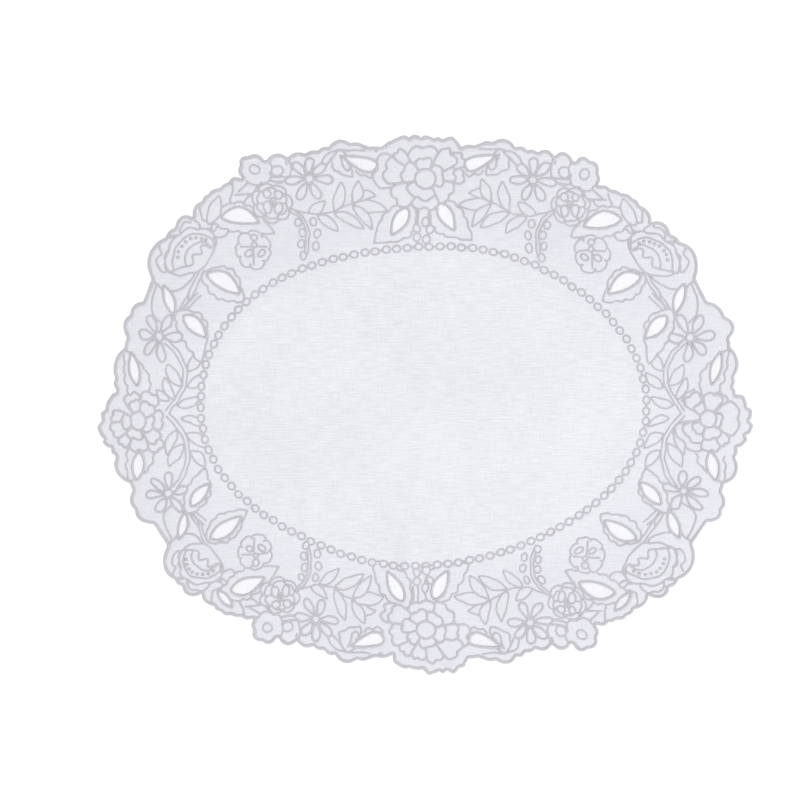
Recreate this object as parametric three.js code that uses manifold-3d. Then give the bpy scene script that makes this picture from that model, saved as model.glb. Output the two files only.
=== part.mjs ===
// An oval linen placemat with a scalloped border of flowers and leaves, lying flat.
// The ground is one sheet of linen. Its edge is the joined outline of the flowers,
// leaves and lobes of the border, and each large leaf has a cut-out that is filled
// by its own insert of sheer net.
//
// Units are millimetres. X runs along the long side, Y along the short side, Z is up.
// The underside lies in the plane Z = 0, with the origin under the middle of the mat.

import * as THREE from 'three';
import { mergeVertices } from 'three/addons/utils/BufferGeometryUtils.js';
import Module from 'manifold-3d';

const wasm = await Module();
wasm.setup();

// ---------------------------------------------------------------- driving sizes

const HALF_LENGTH = 216;      // half of the finished mat along X
const HALF_WIDTH = 178;       // half of the finished mat along Y
const LINEN_THICKNESS = 1.2;  // linen with the cords that are stitched on it
const NET_THICKNESS = 0.9;    // net insert with its turned-in rim
const SEAM_GAP = 0.3;         // all round a net insert

// The border is drawn by hand, so it isn't quite symmetrical. Each quarter mirrors
// the same design and moves its diagonal sideways and up by its own slip and rise.
const QUARTERS = [
  { name: 'right_back', x: 1, y: 1, slip: 0, rise: 3.8 },
  { name: 'right_front', x: 1, y: -1, slip: -0.5, rise: 2.6 },
  { name: 'left_back', x: -1, y: 1, slip: -5, rise: 5.8 },
  { name: 'left_front', x: -1, y: -1, slip: 0.5, rise: 5.4 },
];
const SIDE_DROP = 9;          // how far the left and right ends of the border sit low
const SIDE_SLIP = 1.3;        // how far they sit to the right
const WANDER = 0.9;           // slow wander of the drawn line
const FULL_DRIFT = 0.6;       // share of the way out at which all of this holds
const PULL_REACH = 9;         // how far round it the place of a motif counts
const PULL_LOOSENESS = 0.08;  // above zero, a motif far from all others isn't moved

// Where the middles of the motifs and the corners of the edge are in the design, and
// where the hand drew them in each quarter, as distances from the middle of the mat.
const PLACES = [
  { x: 45, y: 130.5,
    right_back: [43, 133.5], left_back: [48, 132], right_front: [42, 128.5], left_front: [48, 128.5] },
  { x: 57, y: 124.7,
    right_back: [55, 127], left_back: [60, 128], right_front: [54, 122], left_front: [60, 121] },
  { x: 72, y: 146,
    right_back: [70.5, 148.5], left_back: [76.5, 149.5], right_front: [68.5, 143.5], left_front: [72, 141.5] },
  { x: 74, y: 109,
    right_back: [73.5, 111], left_back: [77, 112.5], right_front: [69.5, 107.5], left_front: [76, 106] },
  { x: 96.3, y: 130,
    right_back: [96, 131], left_back: [101, 133], right_front: [94, 130], left_front: [96, 126] },
  { x: 106, y: 151.6,
    right_back: [105.5, 151.5], left_back: [113, 155.5], right_front: [103, 152], left_front: [104, 147] },
  { x: 91.5, y: 154,
    right_back: [91.5, 155], left_back: [97.5, 157], right_front: [89, 150], left_front: [91, 148] },
  { x: 116.8, y: 120.5,
    right_back: [116.5, 121], left_back: [122.5, 124.5], right_front: [112.5, 121.5], left_front: [119.5, 118.5] },
  { x: 110, y: 99.5,
    right_back: [110, 100], left_back: [113, 103], right_front: [106, 98.5], left_front: [113, 97] },
  { x: 131, y: 80.3,
    right_back: [132, 80], left_back: [133, 80], right_front: [128.5, 82], left_front: [132.5, 80] },
  { x: 146.5, y: 99,
    right_back: [146, 97], left_back: [150, 99], right_front: [143, 101], left_front: [146, 102] },
  { x: 178, y: 99,
    right_back: [179, 96], left_back: [183, 96], right_front: [177, 104], left_front: [172.5, 106] },
  { x: 165, y: 74.3,
    right_back: [168, 70], left_back: [169.5, 68], right_front: [163.5, 79], left_front: [160.5, 80] },
  { x: 149.8, y: 55.2,
    right_back: [152.5, 52], left_back: [151.5, 53], right_front: [148, 57.5], left_front: [149, 59] },
  { x: 172.5, y: 51.3,
    right_back: [175, 44], left_back: [176, 45], right_front: [170, 57], left_front: [169.5, 59] },
  { x: 191, y: 31.8,
    right_back: [192.5, 23.5], left_back: [193, 22.5], right_front: [189, 40.5], left_front: [189.3, 40.5] },
  { x: 158.3, y: 26,
    right_back: [159, 17], left_back: [160, 17], right_front: [157, 35], left_front: [157, 35] },
  { x: 39.5, y: 160.5,
    right_back: [36, 161.5], left_back: [45, 161], right_front: [40, 157], left_front: [39, 157] },
  { x: 15, y: 120.8,
    right_back: [13.5, 124.5], left_back: [16.5, 121], right_front: [9, 118.5], left_front: [20, 120] },
  { x: 133.5, y: 128.3,
    right_back: [135, 128], left_back: [139.5, 127.5], right_front: [130, 129.5], left_front: [132, 128.5] },
  { x: 91, y: 164.2,
    right_back: [91, 168], left_back: [96.5, 164.5], right_front: [89.5, 160.5], left_front: [90.5, 158] },
  { x: 105, y: 162.6,
    right_back: [105, 163.5], left_back: [113.5, 164.5], right_front: [103, 164.5], left_front: [103.5, 158] },
  { x: 115.5, y: 150.5,
    right_back: [114.5, 150], left_back: [123, 157], right_front: [115, 150.5], left_front: [114.5, 146.5] },
  { x: 137, y: 139,
    right_back: [136.5, 137], left_back: [144, 141.5], right_front: [133.5, 141], left_front: [135.5, 137.5] },
  { x: 159.5, y: 121.5,
    right_back: [160, 117], left_back: [163.5, 121.5], right_front: [159.5, 125], left_front: [159, 124] },
  { x: 180.5, y: 76.5,
    right_back: [184, 72.5], left_back: [185, 71], right_front: [181.5, 81], left_front: [172.5, 83] },
  { x: 190.5, y: 69.2,
    right_back: [192, 64], left_back: [191.5, 65], right_front: [197, 74], left_front: [192.5, 75] },
  { x: 198.5, y: 57.5,
    right_back: [206, 54], left_back: [199.5, 55], right_front: [196.5, 65.5], left_front: [193.5, 64] },
  { x: 203, y: 20,
    right_back: [201, 12], left_back: [204.5, 12], right_front: [204, 28], left_front: [205, 28.5] },
  { x: 32, y: 171,
    right_back: [32, 172], left_back: [34, 170.5], right_front: [33, 167], left_front: [31, 166.5] },
  { x: 206.5, y: 35,
    right_back: [206.5, 28], left_back: [204, 26], right_front: [206, 44], left_front: [204, 43] },
];

// ---------------------------------------------------------------- the design
// Tables hold the quarter with X and Y above zero. The other quarters mirror it.

// A leaf runs from its base to its tip, and so does its cut-out. Belly is the share of
// the cut-out's width on the left of that line, and a blunt cut-out is widest near its base.
const LEAVES = [
  { name: 'rose_side', base: [17, 157], tip: [60, 167], width: 17, scallops: 7,
    from: [28, 158], to: [50, 163.5], opening: 9.5, belly: 0.35, blunt: 0.5 },
  { name: 'rose_foot', base: [4, 140], tip: [31.5, 106.8], width: 17, scallops: 5,
    from: [10.5, 130], to: [20.8, 111.2], opening: 9.3, belly: 0.5, blunt: 0.75 },
  { name: 'rosette', base: [138, 125], tip: [95.5, 110], width: 18, scallops: 6,
    from: [129, 123], to: [104.5, 116.8], opening: 11, belly: 0.33, blunt: 0.85 },
  { name: 'chain', base: [145, 87], tip: [117, 69.4], width: 18, scallops: 5,
    from: [142, 86.5], to: [120, 73.8], opening: 10.4, belly: 0.32, blunt: 0.85 },
  { name: 'shoulder', base: [163, 56], tip: [175, 86], width: 21, scallops: 5,
    from: [162.3, 64.8], to: [168.3, 83.8], opening: 6.8, belly: 0.6, blunt: 1 },
  { name: 'daisy', base: [159, 67], tip: [144, 38], width: 17, scallops: 5,
    from: [157, 62.5], to: [143, 47.6], opening: 8.8, belly: 0.5, blunt: 0.85 },
  { name: 'flank', base: [188, 8], tip: [198.5, 43.5], width: 23, scallops: 5,
    from: [188.8, 21.5], to: [193.2, 42.3], opening: 7.8, belly: 0.5, blunt: 1 },
  { name: 'corner', base: [142, 122], tip: [120.5, 142], width: 15, scallops: 4,
    from: [138.8, 122], to: [128.4, 135], opening: 5.8, belly: 0.5, blunt: 1,
    closedAtBack: true },
];

// The leaves with a cut-out: the corner leaf is whole linen in the two back quarters.
function cutLeaves(quarter) {
  return LEAVES.filter((leaf) => quarter.y < 0 || !leaf.closedAtBack);
}

// Round lobes that back the roses, the daisies and the corner leaf.
const LOBES = [
  { x: 30, y: 162, rx: 10, ry: 9 },
  { x: 42, y: 164, rx: 8.5, ry: 9 },
  { x: 51.5, y: 163.5, rx: 9.5, ry: 10.7 },
  { x: 62.5, y: 159.5, rx: 6.5, ry: 9 },
  { x: 70, y: 157, rx: 7, ry: 9 },
  { x: 79, y: 156.5, rx: 7.5, ry: 9 },
  { x: 140, y: 124.5, rx: 8.6, ry: 8.6 },
  { x: 153.5, y: 117, rx: 7.5, ry: 7.8 },
  { x: 184, y: 62.5, rx: 9.5, ry: 10 },
  { x: 190, y: 55, rx: 8.5, ry: 8.5 },
  { x: 195, y: 33, rx: 11.7, ry: 11.5 },
];

const SHELL = { x: 91, y: 154, rx: 7.8, ry: 10.4 };
const STAR = { x: 105.5, y: 151.8, radius: 10.6, lobes: 6, turn: 38 };
const FOLDED_LEAF = { base: [104, 142], tip: [138, 131], width: 13, scallops: 4 };

// The tulip: a round lobe and two scalloped petals behind its cup.
const TULIP = { x: 150, y: 100 };
const TULIP_LOBE = { x: 12.6, y: -4, radius: 16 };
const TULIP_HEART = { x: -3, y: -5 };
const TULIP_PETALS = [
  { from: 30, to: 66, radius: 27, notch: 0, wave: 0, waves: 1 },
  { from: 58, to: 102, radius: 27, notch: 0.05, wave: 0, waves: 1 },
];

// A rose stands near the middle of each side, faces outwards and is placed as it was
// drawn. The petals of its rim span these angles from the way it faces.
const ROSES = [
  { name: 'back', x: 0, y: 149.2, turn: 90, mirror: 1, rim: [
    { from: 36, to: 64, radius: 35.6 }, { from: 19, to: 50, radius: 33.4 }, { from: 4, to: 25, radius: 30.4 },
    { from: -17, to: 11, radius: 28.8 }, { from: -33, to: -8, radius: 29.2 }, { from: -54, to: -22, radius: 33.4 },
  ] },
  { name: 'front', x: 0.5, y: -148.6, turn: -90, mirror: -1, rim: [
    { from: 20, to: 58, radius: 30.4 }, { from: 0, to: 33, radius: 27.6 }, { from: -23, to: 7, radius: 29.9 },
    { from: -32, to: -15, radius: 31 }, { from: -45, to: -26, radius: 34.6 }, { from: -62, to: -36, radius: 35 },
  ] },
  { name: 'right', x: 186.8, y: -9.4, turn: 0, mirror: 1, rim: [
    { from: 40, to: 66, radius: 27 }, { from: 12, to: 44, radius: 28.2 }, { from: -5, to: 21, radius: 29.6 },
    { from: -25, to: 1, radius: 30.2 }, { from: -47, to: -19, radius: 29.4 }, { from: -68, to: -42, radius: 30.4 },
  ] },
  { name: 'left', x: -189.6, y: -10.6, turn: 180, mirror: -1, rim: [
    { from: 12, to: 66, radius: 24.6 }, { from: -4, to: 22, radius: 25 }, { from: -32, to: 3, radius: 27.4 },
    { from: -47, to: -24, radius: 27.6 }, { from: -66, to: -42, radius: 27.6 },
  ] },
];

// The plain ground reaches the middles of the motifs along the edge.
const GROUND = [
  [0, 165], [20, 168], [39, 164], [58, 162], [68, 158], [79, 157], [91, 155], [106, 152], [121, 139],
  [140, 125], [153, 115], [163, 96], [176, 87], [182.5, 74], [190, 60], [197.5, 47], [201, 22],
  [202, 8], [203, 0],
];

// ---------------------------------------------------------------- outlines

const radians = THREE.MathUtils.degToRad;
const point = (x, y) => new THREE.Vector2(x, y);

// `count` values evenly spread from `from` to `to`, both ends included.
function spread(from, to, count) {
  return Array.from({ length: count }, (_, i) => from + ((to - from) * i) / (count - 1));
}

function oval(rx, ry, steps = 22) {
  return spread(0, 2 * Math.PI, steps + 1).slice(0, -1)
    .map((angle) => point(rx * Math.cos(angle), ry * Math.sin(angle)));
}

// A leaf shape along X, pointed at both ends, with this half width along its length.
function pointedShape(length, steps, halfWidth) {
  const shares = spread(0, 1, steps);
  const upper = shares.map((t) => point(length * t, halfWidth(t)));
  const lower = shares.slice(1, -1).reverse().map((t) => point(length * t, -halfWidth(t)));
  return upper.concat(lower);
}

// How wide a leaf is along its length, as a share of its full width. Below 1, blunt
// moves the widest place towards the base.
function swelling(t, blunt) {
  return Math.sin(Math.PI * Math.min(t, 1 - 1e-9) ** blunt);
}

function leafHole(length, { opening, belly, blunt }, steps = 13) {
  const shares = spread(0, Math.PI, steps).map((angle) => (1 - Math.cos(angle)) / 2);
  const reach = (t) => opening * swelling(t, blunt) ** 0.85;
  const upper = shares.map((t) => point(length * t, belly * reach(t)));
  const lower = shares.slice(1, -1).reverse().map((t) => point(length * t, (belly - 1) * reach(t)));
  return upper.concat(lower);
}

function scallopedBlade(length, width, scallops, depth) {
  return pointedShape(length, 4 * scallops + 1, (t) => {
    const swell = swelling(t, 0.85);
    return (width / 2) * swell + depth * Math.abs(Math.sin(scallops * Math.PI * t)) * swell ** 0.5;
  });
}

// A petal that fans out from the origin between two angles, with a notch in the
// middle of its rim.
const NOTCH_WIDTH = 0.09;     // as a share of the rim

function fan({ from, to, radius, notch, wave, waves }, inner, shoulder, steps = 15) {
  const rim = spread(0, 1, steps).map((t) => {
    const rise = Math.max(Math.sin(Math.PI * t), 0) ** shoulder;
    const dent = notch * Math.exp(-(((t - 0.5) / NOTCH_WIDTH) ** 2));
    const ripple = wave * Math.sin(2 * Math.PI * waves * t);
    const reach = radius * (inner + (1 - inner) * rise) * (1 - dent + ripple);
    const angle = radians(from + (to - from) * t);
    return point(reach * Math.cos(angle), reach * Math.sin(angle));
  });
  return rim.concat([point(0, 0)]);
}

function starFlower({ radius, lobes }) {
  return spread(0, 2 * Math.PI, 6 * lobes + 1).slice(0, -1).map((angle) => {
    const reach = radius * (0.87 + 0.17 * Math.abs(Math.cos((lobes * angle) / 2)) ** 0.7);
    return point(reach * Math.cos(angle), reach * Math.sin(angle));
  });
}

// ---------------------------------------------------------------- placing

function moved(outline, x, y, turn = 0) {
  const angle = radians(turn);
  return outline.map((p) => p.clone().rotateAround(point(0, 0), angle).add(point(x, y)));
}

// Lays an outline that runs along X from one point to another.
function along(outline, [x, y], [tipX, tipY]) {
  return moved(outline, x, y, THREE.MathUtils.radToDeg(Math.atan2(tipY - y, tipX - x)));
}

function distance([x, y], [tipX, tipY]) {
  return Math.hypot(tipX - x, tipY - y);
}

function mirrored(outline, signX, signY) {
  return outline.map((p) => point(p.x * signX, p.y * signY));
}

// The broad drift of the drawing at a point of the symmetrical design.
function broadDrift(p) {
  const angle = Math.atan2(p.y / HALF_WIDTH, p.x / HALF_LENGTH);
  const reach = Math.min(Math.hypot(p.x / HALF_LENGTH, p.y / HALF_WIDTH) / FULL_DRIFT, 1);
  const { slip, rise } = QUARTERS.find(({ x, y }) => x * p.x >= 0 && y * p.y >= 0);
  const diagonal = Math.abs(Math.sin(2 * angle));
  const side = Math.cos(angle) ** 2;
  const wanderX = WANDER * Math.sin(p.y / 31 + p.x / 57 + 1);
  const wanderY = WANDER * Math.sin(p.x / 37 - p.y / 61 + 2);
  const x = wanderX + slip * diagonal ** 2 + SIDE_SLIP * side;
  const y = wanderY + rise * diagonal - SIDE_DROP * side;
  return point(x * reach, y * reach);
}

// What is left between each motif's place and where the broad drift takes it.
const PULLS = QUARTERS.flatMap((quarter) => PLACES.map((place) => {
  const middle = point(quarter.x * place.x, quarter.y * place.y);
  const [x, y] = place[quarter.name];
  return { middle, pull: point(quarter.x * x, quarter.y * y).sub(middle).sub(broadDrift(middle)) };
}));

// Moves a point of the symmetrical design to where the hand drew it.
function drifted(p) {
  const sum = point(0, 0);
  let weights = PULL_LOOSENESS;
  for (const { middle, pull } of PULLS) {
    const weight = Math.exp(-0.5 * (p.distanceTo(middle) / PULL_REACH) ** 2);
    sum.addScaledVector(pull, weight);
    weights += weight;
  }
  return p.clone().add(broadDrift(p)).addScaledVector(sum, 1 / weights);
}

// ---------------------------------------------------------------- motifs

function leafOutline(leaf) {
  const length = distance(leaf.base, leaf.tip);
  const depth = leaf.depth ?? 1.3;
  return along(scallopedBlade(length, leaf.width, leaf.scallops, depth), leaf.base, leaf.tip);
}

function leafOpening(leaf) {
  return along(leafHole(distance(leaf.from, leaf.to), leaf), leaf.from, leaf.to);
}

function tulipOutlines() {
  const heart = [TULIP.x + TULIP_HEART.x, TULIP.y + TULIP_HEART.y];
  const { x, y, radius } = TULIP_LOBE;
  return [
    moved(oval(radius, radius, 36), TULIP.x + x, TULIP.y + y),
    ...TULIP_PETALS.map((petal) => moved(fan(petal, 0.5, 0.25), ...heart)),
  ];
}

function quarterOutlines() {
  return [
    ...LEAVES.map(leafOutline),
    ...LOBES.map(({ x, y, rx, ry }) => moved(oval(rx, ry), x, y)),
    moved(oval(SHELL.rx, SHELL.ry, 26), SHELL.x, SHELL.y),
    moved(starFlower(STAR), STAR.x, STAR.y, STAR.turn),
    leafOutline({ ...FOLDED_LEAF, depth: 1.6 }),
    ...tulipOutlines(),
  ];
}

function roseOutlines(rose) {
  return rose.rim.map((petal) => fan({ ...petal, notch: 0.02, wave: 0.012, waves: 2 }, 0.6, 0.3, 19))
    .map((outline) => moved(mirrored(outline, 1, rose.mirror), rose.x, rose.y, rose.turn));
}

function groundOutline() {
  const quarter = GROUND.map(([x, y]) => point(x, y));
  const turned = [...quarter].reverse();
  return [
    ...quarter,
    ...mirrored(turned, 1, -1).slice(1),
    ...mirrored(quarter, -1, -1).slice(1),
    ...mirrored(turned, -1, 1).slice(1, -1),
  ];
}

// ---------------------------------------------------------------- solids

// The outline of the net insert that fills a cut-out with this gap all round. Each edge
// of the cut-out takes a strip of that width off what is left.
function inside(outline, gap) {
  const turn = Math.sign(THREE.ShapeUtils.area(outline));
  return outline.reduce((rest, a, i) => {
    const b = outline[(i + 1) % outline.length];
    const inward = point(a.y - b.y, b.x - a.x).normalize().multiplyScalar(turn);
    const depth = (p) => p.clone().sub(a).dot(inward) - gap;
    return rest.flatMap((p, j) => {
      const q = rest[(j + 1) % rest.length];
      const kept = depth(p) >= 0 ? [p] : [];
      if (depth(p) * depth(q) < 0) {
        kept.push(p.clone().lerp(q, depth(p) / (depth(p) - depth(q))));
      }
      return kept;
    });
  }, outline);
}

function sheet(outline, bottom, top) {
  const geometry = new THREE.ExtrudeGeometry(new THREE.Shape(outline), {
    depth: top - bottom,
    bevelEnabled: false,
  });
  return geometry.translate(0, 0, bottom);
}

function solidFrom(geometry) {
  geometry.deleteAttribute('normal');
  geometry.deleteAttribute('uv');
  const merged = mergeVertices(geometry, 1e-4);
  return new wasm.Manifold(new wasm.Mesh({
    numProp: 3,
    vertProperties: merged.attributes.position.array,
    triVerts: merged.index.array,
  }));
}

function geometryFrom(solid) {
  const mesh = solid.getMesh();
  const geometry = new THREE.BufferGeometry();
  geometry.setAttribute('position', new THREE.BufferAttribute(mesh.vertProperties, 3));
  geometry.setIndex(new THREE.BufferAttribute(mesh.triVerts, 1));
  geometry.computeVertexNormals();
  return geometry;
}

function linenGround() {
  const outlines = [groundOutline().map(drifted), ...ROSES.flatMap(roseOutlines)];
  const openings = [];
  for (const quarter of QUARTERS) {
    const draw = (outline) => mirrored(outline, quarter.x, quarter.y).map(drifted);
    outlines.push(...quarterOutlines().map(draw));
    openings.push(...cutLeaves(quarter).map((leaf) => draw(leafOpening(leaf))));
  }
  const joined = outlines.map((outline) => solidFrom(sheet(outline, 0, LINEN_THICKNESS)))
    .reduce((whole, piece) => whole.add(piece));
  const cut = openings.map((outline) => solidFrom(sheet(outline, -1, LINEN_THICKNESS + 1)))
    .reduce((whole, piece) => whole.subtract(piece), joined);
  return geometryFrom(cut.asOriginal().simplify(0.02));
}

// ---------------------------------------------------------------- the mat

const linen = new THREE.MeshStandardMaterial({ color: 0xecedf2, roughness: 0.9, metalness: 0 });
const net = new THREE.MeshStandardMaterial({ color: 0xf7f7f9, roughness: 0.85, metalness: 0 });

function part(name, geometry, material) {
  const mesh = new THREE.Mesh(geometry, material);
  mesh.name = name;
  return mesh;
}

const placemat = new THREE.Group();
placemat.name = 'lace_placemat';
placemat.add(part('linen_ground', linenGround(), linen));

for (const quarter of QUARTERS) {
  for (const leaf of cutLeaves(quarter)) {
    const cutOut = mirrored(leafOpening(leaf), quarter.x, quarter.y).map(drifted);
    const name = `net_${leaf.name}_${quarter.name}`;
    placemat.add(part(name, sheet(inside(cutOut, SEAM_GAP), 0, NET_THICKNESS), net));
  }
}

export default placemat;
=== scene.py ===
"""An oval placemat of white linen. Grey cord is stitched on it in a border of flowers and
leaves, sheer net fills the large leaves, and an oval of chain links runs round the middle.

The design is in millimetres: X runs along the mat, Y across it, and tables hold the
quarter with X and Y above zero. Meshes are in metres. The mat's outline and its cut-outs
come from the frame's own solids.
"""
import math
from collections import namedtuple

import bpy
import numpy as np
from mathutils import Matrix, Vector
from mathutils.geometry import delaunay_2d_cdt
from mathutils.kdtree import KDTree


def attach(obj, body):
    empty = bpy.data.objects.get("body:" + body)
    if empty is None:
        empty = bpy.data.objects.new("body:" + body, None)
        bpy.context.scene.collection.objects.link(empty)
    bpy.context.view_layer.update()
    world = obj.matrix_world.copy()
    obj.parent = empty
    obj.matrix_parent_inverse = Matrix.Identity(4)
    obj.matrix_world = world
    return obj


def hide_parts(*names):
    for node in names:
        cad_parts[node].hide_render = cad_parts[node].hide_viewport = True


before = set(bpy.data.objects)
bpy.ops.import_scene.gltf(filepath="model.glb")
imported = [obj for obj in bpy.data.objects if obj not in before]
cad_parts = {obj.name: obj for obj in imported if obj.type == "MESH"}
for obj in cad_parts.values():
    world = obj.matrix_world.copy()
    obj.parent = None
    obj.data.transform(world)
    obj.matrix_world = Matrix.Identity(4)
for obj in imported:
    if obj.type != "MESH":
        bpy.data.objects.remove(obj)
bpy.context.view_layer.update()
MM = 0.001


def table_of(kind, rows):
    """Gives the columns of a table their names."""
    return [kind(*row) for row in rows]


# --- driving sizes

HALF_LENGTH = 216  # half of the mat along X
HALF_WIDTH = 178  # half of the mat along Y
CLOTH_THICKNESS = 0.38  # the linen
CLOTH_FLOOR_GAP = 0.03  # under its lowest places
PUFF = 0.30  # how far the linen stands up between its stitched lines
PUFF_REACH = 3.5  # distance from a stitched line at which it has risen
CORD_HEIGHT = 1.02  # from the linen's underside to the top of a cord
CORD_STEP = 0.75  # between two rings of a cord's mesh
HIDDEN_RUN = 1.6  # a piece of line shorter than this isn't stitched
RIM_GAP = 0.6  # a line stops this far from the middle of the edge's cord
RIM_SIDE_GAP = 1.9  # and this far from it where it runs beside it
OPENING_GAP = 0.4  # and this far from a cut-out
OPENING_REACH = 20  # no cut-out goes farther from its middle
RIM_INSET = 0.48  # of its width, from the edge of the linen to the middle of the edge's cord
BESIDE = 0.8  # cosine of the widest angle between two lines that run beside each other
NET_PITCH = 1.2  # across one mesh of the net
NET_THREAD = (0.26, 0.20)  # width and thickness of its threads
NET_TURN_IN = 0.9  # how far the net reaches under the cord all round
NET_LEVEL = 0.12  # height of the middle of the net

# The width of the cord in each group of lines.
CORD_WIDTHS = {
    "rim": 2.1,
    "net_rims": 1.6,
    "roses": 1.65,
    "daisies": 1.6,
    "small_flowers": 1.4,
    "tulips": 1.45,
    "leaves": 1.45,
    "sprays": 1.3,
    "chain": 1.45,
}

# The border is drawn by hand: each quarter moves its diagonal by its own slip and rise.
Quarter = namedtuple("Quarter", "name x y slip rise")
QUARTERS = table_of(Quarter, (
    ("right_back", 1, 1, 0.0, 3.8),
    ("right_front", 1, -1, -0.5, 2.6),
    ("left_back", -1, 1, -5.0, 5.8),
    ("left_front", -1, -1, 0.5, 5.4),
))
SIDE_DROP = 9.0  # how far the left and right ends of the border sit low
SIDE_SLIP = 1.3  # how far they sit to the right
WANDER = 0.9  # slow wander of the drawn line
TREMBLE = 0.22  # quick wander of the stitched line
FULL_DRIFT = 0.6  # share of the way out at which the drift is full
PULL_REACH = 9.0  # how far round it the place of a motif counts
PULL_LOOSENESS = 0.08  # above zero, a motif far from all others isn't moved

# Where the middles of the motifs and the corners of the edge are in the design, and where
# the hand drew them in each quarter, as distances from the middle of the mat.
Place = namedtuple("Place", "design right_back left_back right_front left_front")
PLACES = table_of(Place, (
    ((45, 130.5), (43, 133.5), (48, 132), (42, 128.5), (48, 128.5)),
    ((57, 124.7), (55, 127), (60, 128), (54, 122), (60, 121)),
    ((72, 146), (70.5, 148.5), (76.5, 149.5), (68.5, 143.5), (72, 141.5)),
    ((74, 109), (73.5, 111), (77, 112.5), (69.5, 107.5), (76, 106)),
    ((96.3, 130), (96, 131), (101, 133), (94, 130), (96, 126)),
    ((106, 151.6), (105.5, 151.5), (113, 155.5), (103, 152), (104, 147)),
    ((91.5, 154), (91.5, 155), (97.5, 157), (89, 150), (91, 148)),
    ((116.8, 120.5), (116.5, 121), (122.5, 124.5), (112.5, 121.5), (119.5, 118.5)),
    ((110, 99.5), (110, 100), (113, 103), (106, 98.5), (113, 97)),
    ((131, 80.3), (132, 80), (133, 80), (128.5, 82), (132.5, 80)),
    ((146.5, 99), (146, 97), (150, 99), (143, 101), (146, 102)),
    ((178, 99), (179, 96), (183, 96), (177, 104), (172.5, 106)),
    ((165, 74.3), (168, 70), (169.5, 68), (163.5, 79), (160.5, 80)),
    ((149.8, 55.2), (152.5, 52), (151.5, 53), (148, 57.5), (149, 59)),
    ((172.5, 51.3), (175, 44), (176, 45), (170, 57), (169.5, 59)),
    ((191, 31.8), (192.5, 23.5), (193, 22.5), (189, 40.5), (189.3, 40.5)),
    ((158.3, 26), (159, 17), (160, 17), (157, 35), (157, 35)),
    ((39.5, 160.5), (36, 161.5), (45, 161), (40, 157), (39, 157)),
    ((15, 120.8), (13.5, 124.5), (16.5, 121), (9, 118.5), (20, 120)),
    ((133.5, 128.3), (135, 128), (139.5, 127.5), (130, 129.5), (132, 128.5)),
    ((91, 164.2), (91, 168), (96.5, 164.5), (89.5, 160.5), (90.5, 158)),
    ((105, 162.6), (105, 163.5), (113.5, 164.5), (103, 164.5), (103.5, 158)),
    ((115.5, 150.5), (114.5, 150), (123, 157), (115, 150.5), (114.5, 146.5)),
    ((137, 139), (136.5, 137), (144, 141.5), (133.5, 141), (135.5, 137.5)),
    ((159.5, 121.5), (160, 117), (163.5, 121.5), (159.5, 125), (159, 124)),
    ((180.5, 76.5), (184, 72.5), (185, 71), (181.5, 81), (172.5, 83)),
    ((190.5, 69.2), (192, 64), (191.5, 65), (197, 74), (192.5, 75)),
    ((198.5, 57.5), (206, 54), (199.5, 55), (196.5, 65.5), (193.5, 64)),
    ((203, 20), (201, 12), (204.5, 12), (204, 28), (205, 28.5)),
    ((32, 171), (32, 172), (34, 170.5), (33, 167), (31, 166.5)),
    ((206.5, 35), (206.5, 28), (204, 26), (206, 44), (204, 43)),
))

# --- the design's tables

# A leaf with scalloped edges, from its base to its tip, and how far its two sides stand
# off that line. Each holds a net but the last, which curls. The one before it is the
# corner leaf: it holds a net in the two front quarters only.
EdgedLeaf = namedtuple("EdgedLeaf", "base tip left right scallops")
EDGED_LEAVES = table_of(EdgedLeaf, (
    ((7, 134), (32, 105.5), 7, 12.5, 5),
    ((138, 125), (95.5, 110), 6.2, 11.2, 6),
    ((145, 87), (117, 69.4), 6.8, 11, 5),
    ((165, 56.5), (172.5, 84.5), 4, 7.4, 1),
    ((161, 67), (146.5, 34.5), 4.4, 11.2, 5),
    ((188, 8), (198.5, 43.5), 11.5, 3.4, 5),
    ((142, 122), (120.5, 142), 7.5, 7.5, 4),
    ((52, 167.5), (43, 149.5), 9, 2, 3),
))
SCALLOP_DEPTH = 1.5
CURL = [(51.5, 164.5), (50, 160), (49, 155.6), (46, 153.5), (44.4, 156.5), (46.5, 159.5)]

# Lines round the leaf beside the rose: inside the edge, below the leaf, and two that
# come down from its base.
BESIDE_ROSE = [
    [(23, 168), (35, 168), (46, 167.4), (52.5, 167.4)],
    [(28, 153.6), (31.5, 149.6), (35, 151.2), (38.5, 150.8), (41, 154)],
    [(52, 167.5), (57.5, 160.6), (62.5, 154)],
    [(52, 167.5), (61, 163.4), (66.5, 154)],
]

# Leaves without net. Bow is how far the midrib bends to the left on its way.
Leaf = namedtuple("Leaf", "base tip width bow")
SPRAY_LEAVES = table_of(Leaf, (
    ((74, 123.3), (63, 131.8), 6.4, 1.2), ((68, 121.8), (54.5, 111), 6.4, -1.2),
    ((57, 125), (52, 145.5), 7.0, 1.2), ((57, 124), (38, 114.2), 6.8, -1.2),
    ((45, 131.5), (40, 147.6), 6.6, 1.2), ((45, 130), (32.8, 114.2), 6.4, -1.2),
    ((44.5, 131), (23.5, 128.4), 8.2, 0), ((46, 131), (30, 137.5), 7.6, -3.2),
))

# What the corner leaf holds in the two back quarters in place of its net.
CORNER_LEAF = Leaf((137.8, 119.5), (129.8, 137), 8.4, 1.0)

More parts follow.
